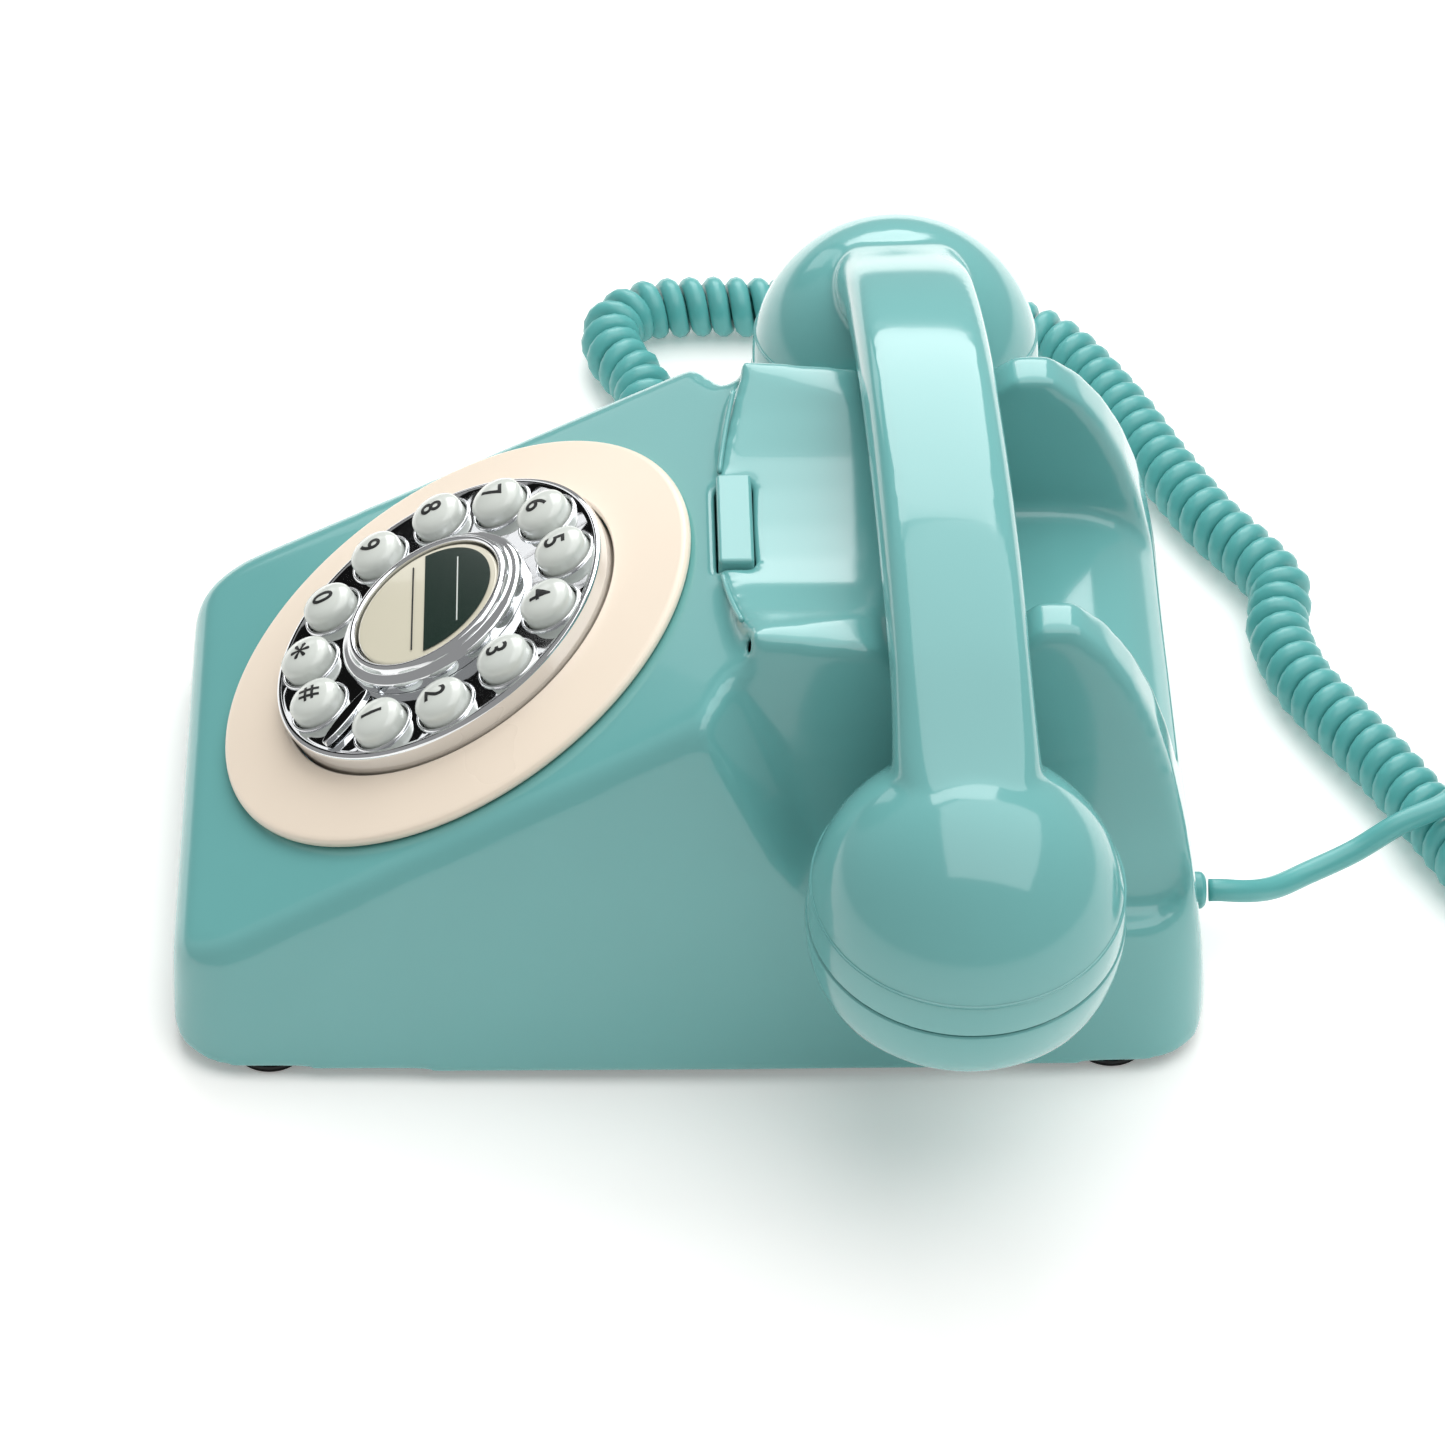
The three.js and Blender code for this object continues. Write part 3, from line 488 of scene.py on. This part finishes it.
def bored(piece, spots, r, height, sides):
    """Drills straight round holes through a piece's flat face, which lies at about a height."""
    drills = []
    for x, y in spots:
        bpy.ops.object.select_all(action="DESELECT")
        bpy.ops.mesh.primitive_cylinder_add(vertices=sides, radius=r * mm, depth=8 * mm,
                                            location=(x * mm, y * mm, height * mm))
        drills.append(bpy.context.object)
    only(drills[0])
    for drill in drills:
        drill.select_set(True)
    bpy.ops.object.join()
    only(piece)
    cut = piece.modifiers.new("holes", "BOOLEAN")
    cut.operation = "DIFFERENCE"
    cut.solver = "EXACT"
    cut.object = drills[0]
    bpy.ops.object.modifier_apply(modifier="holes")
    bpy.data.objects.remove(drills[0])


bright_chrome = plastic("bright chrome", painted(226, 228, 230), 0.05, metal=1, grain_depth=0.000002)
plate = turned("dial_disc", [(17.5, 4.6), (38, 4.6), (38, -2.6), (39.8, -2.6), (39.8, 5.3), (39.5, 5.9),
                             (38.9, 6.2), (38.2, 6.2), (37.6, 5.9), (17.5, 5.9), (17.5, 4.6)], 160)
key_circle = 31.2
first_key = -24
key_step = 28.95
key_spots = []
for i in range(12):
    angle = math.radians(first_key + key_step * i)
    key_spots.append((key_circle * math.cos(angle), key_circle * math.sin(angle)))
bored(plate, key_spots, 6.4, 5, 56)
eased(plate, 0.3)
finished(plate, "base", bright_chrome, dial_place, ["dial_plate"])
lip_profile = [(6.3, 5.5), (6.3, 6.2), (6.5, 6.4), (6.8, 6.35), (7, 6.1), (7, 5.85), (6.3, 5.5)]
for i, (x, y) in enumerate(key_spots):
    lip = turned("well_lip_%d" % i, lip_profile, 56)
    eased(lip, 0.1, 2)
    finished(lip, "base", bright_chrome, dial_place @ Matrix.Translation((x * mm, y * mm, 0)))

# Bezel. The stepped ring round the middle button, turned, polished and chromed, and pressed down on
# the dial plate.
bezel = turned("button_bezel", [(17.5, 5.95), (21.9, 5.95), (21.9, 8), (21.6, 8.6), (21, 8.9), (20.2, 9),
                                (19.6, 9.3), (19.4, 10), (19.1, 10.5), (18.5, 10.8), (18, 10.8),
                                (17.6, 10.4), (17.5, 9.8), (17.5, 5.95)], 128)
eased(bezel, 0.12, 2)
finished(bezel, "base", bright_chrome, dial_place, ["dial_bezel"])

# Finger stop. A thin chromed steel blade, long and oval, fixed over the plate between the first key
# and the last. It is only for show, since nothing turns.
stop_half, stop_thick = (7.6, 1.6), 1.6
stop_angle = -43.3
stop_spot = (30.4, 0, 7.2)
bpy.ops.object.select_all(action="DESELECT")
bpy.ops.mesh.primitive_cylinder_add(vertices=40, radius=1, depth=stop_thick * mm, location=(0, 0, 0))
stop = bpy.context.object
stop.name = stop.data.name = "stop_blade"
bpy.ops.object.mode_set(mode="EDIT")
bpy.ops.mesh.select_all(action="SELECT")
bpy.ops.transform.resize(value=(stop_half[0] * mm, stop_half[1] * mm, 1))
bpy.ops.object.mode_set(mode="OBJECT")
eased(stop, 0.5, 4)
stop_place = Matrix.Rotation(math.radians(stop_angle), 4, "Z") @ Matrix.Translation(Vector(stop_spot) * mm)
finished(stop, "base", bright_chrome, dial_place @ stop_place, ["finger_stop"])

# Keys. Pearl-grey domed caps moulded in two shots, so that their black figures never wear off; a
# flange under the plate keeps each one in its well, and the rubber mat pushes it back up.
pearl = plastic("pearl grey", painted(214, 219, 213), 0.16, coat=0.4)
ink = plastic("figure black", painted(24, 26, 26), 0.35)
cap_profile = [(2.5, -5.8), (2.5, 2.6), (6.6, 2.6), (6.6, 3.8), (5.85, 3.8), (5.85, 8.1), (5.75, 8.7),
               (5.45, 9.25), (4.9, 9.7), (4.1, 10.05), (3, 10.35), (1.6, 10.55), (0.4, 10.6)]
figure_size, star_size = 6.9, 10
dome_top, dome_fall = 10.62, 30  # the figures follow the cap's dome
signs = {"star": "*", "hash": "#"}
key_names = ["1", "2", "3", "4", "5", "6", "7", "8", "9", "0", "star", "hash"]
key_model = turned("key_model", cap_profile, 64)
eased(key_model, 0.12, 2)
for (x, y), name in zip(key_spots, key_names):
    spot = dial_place @ Matrix.Translation((x * mm, y * mm, 0))
    key_cap = key_model.copy()
    key_cap.data = key_model.data.copy()
    key_cap.name = key_cap.data.name = "cap_" + name
    bpy.context.collection.objects.link(key_cap)
    finished(key_cap, "key_" + name, pearl, spot, ["key_" + name])
    bpy.ops.object.select_all(action="DESELECT")
    bpy.ops.object.text_add(location=(0, 0, 0))
    text = bpy.context.object
    text.name = "figure_" + name
    text.data.body = signs.get(name, name)
    text.data.align_x = "CENTER"
    text.data.align_y = "CENTER"
    text.data.size = (star_size if name == "star" else figure_size) * mm
    text.data.offset = 0.07 * mm
    text.data.extrude = 0.12 * mm
    text.data.resolution_u = 8
    bpy.ops.object.convert(target="MESH")
    text = bpy.context.object
    only(text)
    bpy.ops.object.mode_set(mode="EDIT")
    bpy.ops.mesh.select_all(action="SELECT")
    bpy.ops.mesh.remove_doubles(threshold=1e-6)
    bpy.ops.mesh.quads_convert_to_tris()
    bpy.ops.mesh.subdivide(number_cuts=1)
    bpy.ops.mesh.normals_make_consistent(inside=False)
    bpy.ops.object.mode_set(mode="OBJECT")
    xs = [v.co.x for v in text.data.vertices]
    ys = [v.co.y for v in text.data.vertices]
    middle = Vector(((min(xs) + max(xs)) / 2, (min(ys) + max(ys)) / 2, 0))
    for v in text.data.vertices:
        v.co -= middle
        v.co.z += dome_top * mm - dome_fall * (v.co.x ** 2 + v.co.y ** 2)
    finished(text, "key_" + name, ink, spot)
bpy.data.objects.remove(key_model)

# Middle button. A cream moulded cap with a printed disc under a clear face: a dark green field over
# a cream one, ruled with fine lines. A flange under the dial plate keeps it in.
button = turned("middle_button", [(3, -5.8), (3, 2.6), (19, 2.6), (19, 3.8), (17.1, 3.8), (17.1, 9.6),
                                  (16.9, 9.9), (16.4, 10.05), (8, 10.2), (0.5, 10.22)], 128)
eased(button, 0.15, 2)
button_cream = plastic("button cream", painted(222, 217, 196), 0.12, coat=0.6)
finished(button, "redial", button_cream, dial_place, ["redial_button"])
field_green = plastic("field green", painted(34, 52, 45), 0.12, coat=0.6)
bpy.ops.object.select_all(action="DESELECT")
bpy.ops.mesh.primitive_cylinder_add(vertices=96, radius=15.6 * mm, depth=0.14 * mm,
                                    location=(0, 0, 10.27 * mm))
field = bpy.context.object
field.name = field.data.name = "label_field"
bpy.ops.object.transform_apply(location=True)
bpy.ops.object.mode_set(mode="EDIT")
bpy.ops.mesh.select_all(action="SELECT")
bpy.ops.mesh.bisect(plane_co=(0, -0.5 * mm, 0), plane_no=(0, 1, 0), use_fill=True, clear_inner=True)
bpy.ops.object.mode_set(mode="OBJECT")
eased(field, 0.04, 2)
finished(field, "redial", field_green, dial_place)
rule_white = plastic("rule white", painted(226, 232, 226), 0.3)
rules = [("label_rule_low", (0, -3.4), (13.5, 0.16), ink),
         ("label_rule_mid", (0, 7.6), (10.5, 0.14), rule_white)]
for name, (x, y), (half, thick), material in rules:
    bpy.ops.object.select_all(action="DESELECT")
    bpy.ops.mesh.primitive_cube_add(size=1, location=(x * mm, y * mm, 10.3 * mm))
    rule = bpy.context.object
    rule.name = rule.data.name = name
    rule.scale = (2 * half * mm, 2 * thick * mm, 0.2 * mm)
    bpy.ops.object.transform_apply(location=True, scale=True)
    eased(rule, 0.03, 2)
    finished(rule, "redial", material, dial_place)

# Recall button. A narrow glossy bar moulded in the case's own plastic, that slides straight down in
# its slot between the horns and springs back up.
bar_middle = Vector((0, 9.7, 86.5))
bar_size = Vector((29.1, 7.4, 9))
bpy.ops.object.select_all(action="DESELECT")
bpy.ops.mesh.primitive_cube_add(size=1, location=bar_middle * mm)
bar = bpy.context.object
bar.name = bar.data.name = "recall_bar"
bar.scale = bar_size * mm
bpy.ops.object.transform_apply(location=True, scale=True)
eased(bar, 0.9, 4)
finished(bar, "recall", case_gloss, stands_for=["recall_button"])

# Hook plungers. Two round-ended grey plastic pins on one yoke, which stand up through the saddle
# and are held down by the handset.
pin_profile = [(3, 54.3), (3.2, 54.6), (3.2, 89.2), (3, 90), (2.4, 90.5), (1, 90.6)]
for name, side in (("plunger_left", -1), ("plunger_right", 1)):
    pin = turned("pin_" + name, pin_profile, 40)
    eased(pin, 0.1, 2)
    pin_place = Matrix.Translation((side * pin_x * mm, pin_y * mm, 0))
    finished(pin, "hook", inner_grey, pin_place, [name])

# Handset. A hollow moulding in the case's colour: an arched handle, flat on top with round
# shoulders, that runs into a ball at each end. Both balls are open below, where the caps screw on.
handle_section = [(9, 0), (12.3, 1), (14, 4), (14.4, 9), (13.2, 15), (9.5, 20), (5, 22)]
handle_top = 118
ball_radius = 32
cap_tilt = 8.4
seam = -1.5  # height of the caps' seam, from the middle of the ball


def arch(x):
    """Height of the handle's top: an arch that flows on over the crown of the ball at each end."""
    crown, fall_length = 78, 22
    if abs(x) < crown:
        return handle_top - 22.2 * (abs(x) / ball_x) ** 2.2
    t = (abs(x) - crown) / fall_length
    start, start_fall, end, end_fall = 102.03, -9.9, 94.3, -6.75
    return ((2 * t ** 3 - 3 * t ** 2 + 1) * start + (t ** 3 - 2 * t ** 2 + t) * start_fall
            + (3 * t ** 2 - 2 * t ** 3) * end + (t ** 3 - t ** 2) * end_fall)


handle_end = 100
stations = [handle_end * (-1 + i / 17) for i in range(35)]
rings = []
for x in stations:
    flare = 1 + 0.12 * max(0, (abs(x) - 60) / 30) ** 2
    melt = min(1, max(0, (abs(x) - 66) / 22))
    narrow = 1 - 0.3 * min(1, max(0, (abs(x) - 80) / 18)) ** 2
    half = [(w * flare * narrow, d + melt * w * w / 46) for w, d in handle_section]
    loop = half + [(-w, d) for w, d in reversed(half)]
    rings.append([(x * mm, (rest_y + w) * mm, (arch(x) - d) * mm) for w, d in loop])
handle = skinned("handle", rings)
only(handle)
bpy.ops.object.mode_set(mode="EDIT")
bpy.ops.mesh.select_all(action="SELECT")
bpy.ops.mesh.normals_make_consistent(inside=False)
bpy.ops.object.mode_set(mode="OBJECT")
rounding = handle.modifiers.new("rounding", "SUBSURF")
rounding.levels = rounding.render_levels = 2
bpy.ops.object.modifier_apply(modifier="rounding")
balls = []
for side in (-1, 1):
    bpy.ops.object.select_all(action="DESELECT")
    bpy.ops.mesh.primitive_uv_sphere_add(segments=96, ring_count=64, radius=ball_radius * mm,
                                         location=ball_at(side))
    bpy.ops.object.transform_apply(location=True)
    balls.append(bpy.context.object)
shell = softened("handset_body", [handle] + balls, 0.9, 10, 80000)
for rough in [handle] + balls:
    bpy.data.objects.remove(rough)
only(shell)
bpy.ops.object.mode_set(mode="EDIT")
for side in (-1, 1):
    tilt = math.radians(side * cap_tilt)
    axis = Vector((math.sin(tilt), 0, math.cos(tilt)))
    at_seam = ball_at(side) + axis * seam * mm
    bpy.ops.mesh.select_mode(type="VERT")
    bpy.ops.mesh.select_all(action="DESELECT")
    bpy.ops.object.mode_set(mode="OBJECT")
    for v in shell.data.vertices:
        v.select = v.co.x * side > 0.05
    bpy.ops.object.mode_set(mode="EDIT")
    bpy.ops.mesh.bisect(plane_co=at_seam, plane_no=axis, clear_inner=True)
bpy.ops.object.mode_set(mode="OBJECT")
wall = shell.modifiers.new("wall", "SOLIDIFY")
wall.thickness = 2.4 * mm
wall.offset = -1
bpy.ops.object.modifier_apply(modifier="wall")
bpy.ops.object.shade_smooth_by_angle(angle=math.radians(50))
handset_gloss = plastic("handset gloss", painted(114, 180, 178), 0.12, coat=0.3)
finished(shell, "handset", handset_gloss, handset_turn, ["handset_shell"])

# Ear and mouth caps. Round cups of the same plastic, screwed on under the balls, with a fine dark
# seam, a mould line round each ball and sound holes in their flat faces.
cup_profile = [(0.6, -18.4), (20, -18.5), (25, -18.5), (27, -18.1), (28.9, -16.9), (30.3, -14.9),
               (31.2, -12.4), (31.8, -9.6), (32.15, -6.5), (32.3, -3.6), (32.1, -2.4), (31.7, -2.1),
               (30.2, -2.1), (29.6, -2.8), (29.5, -6.5), (28.4, -10.5), (24, -15.7), (0.6, -15.7)]
line_profile = [(31.6, 6.4), (31.44, 6.5), (31.42, 6.9), (31.2, 7.0), (31, 6.7), (31.6, 6.4)]
hole_circle = 9
hole_spots = [(0, 0)]
for i in range(1, 6):
    angle = 2 * math.pi * i / 5
    hole_spots.append((hole_circle * math.cos(angle), hole_circle * math.sin(angle)))
for side, node, name in ((1, "ear_cap", "ear_cup"), (-1, "mouth_cap", "mouth_cup")):
    cup = turned(name, cup_profile, 128)
    bored(cup, hole_spots, 1.4, -17, 20)
    eased(cup, 0.2, 2, 35)
    cup_place = (handset_turn @ Matrix.Translation(ball_at(side))
                 @ Matrix.Rotation(math.radians(side * cap_tilt), 4, "Y"))
    finished(cup, "handset", handset_gloss, cup_place, [node])
    line = turned("mould_line_" + name, line_profile, 128)
    finished(line, "handset", handset_gloss, cup_place)
refinish(handset_gloss, "handset_underside")
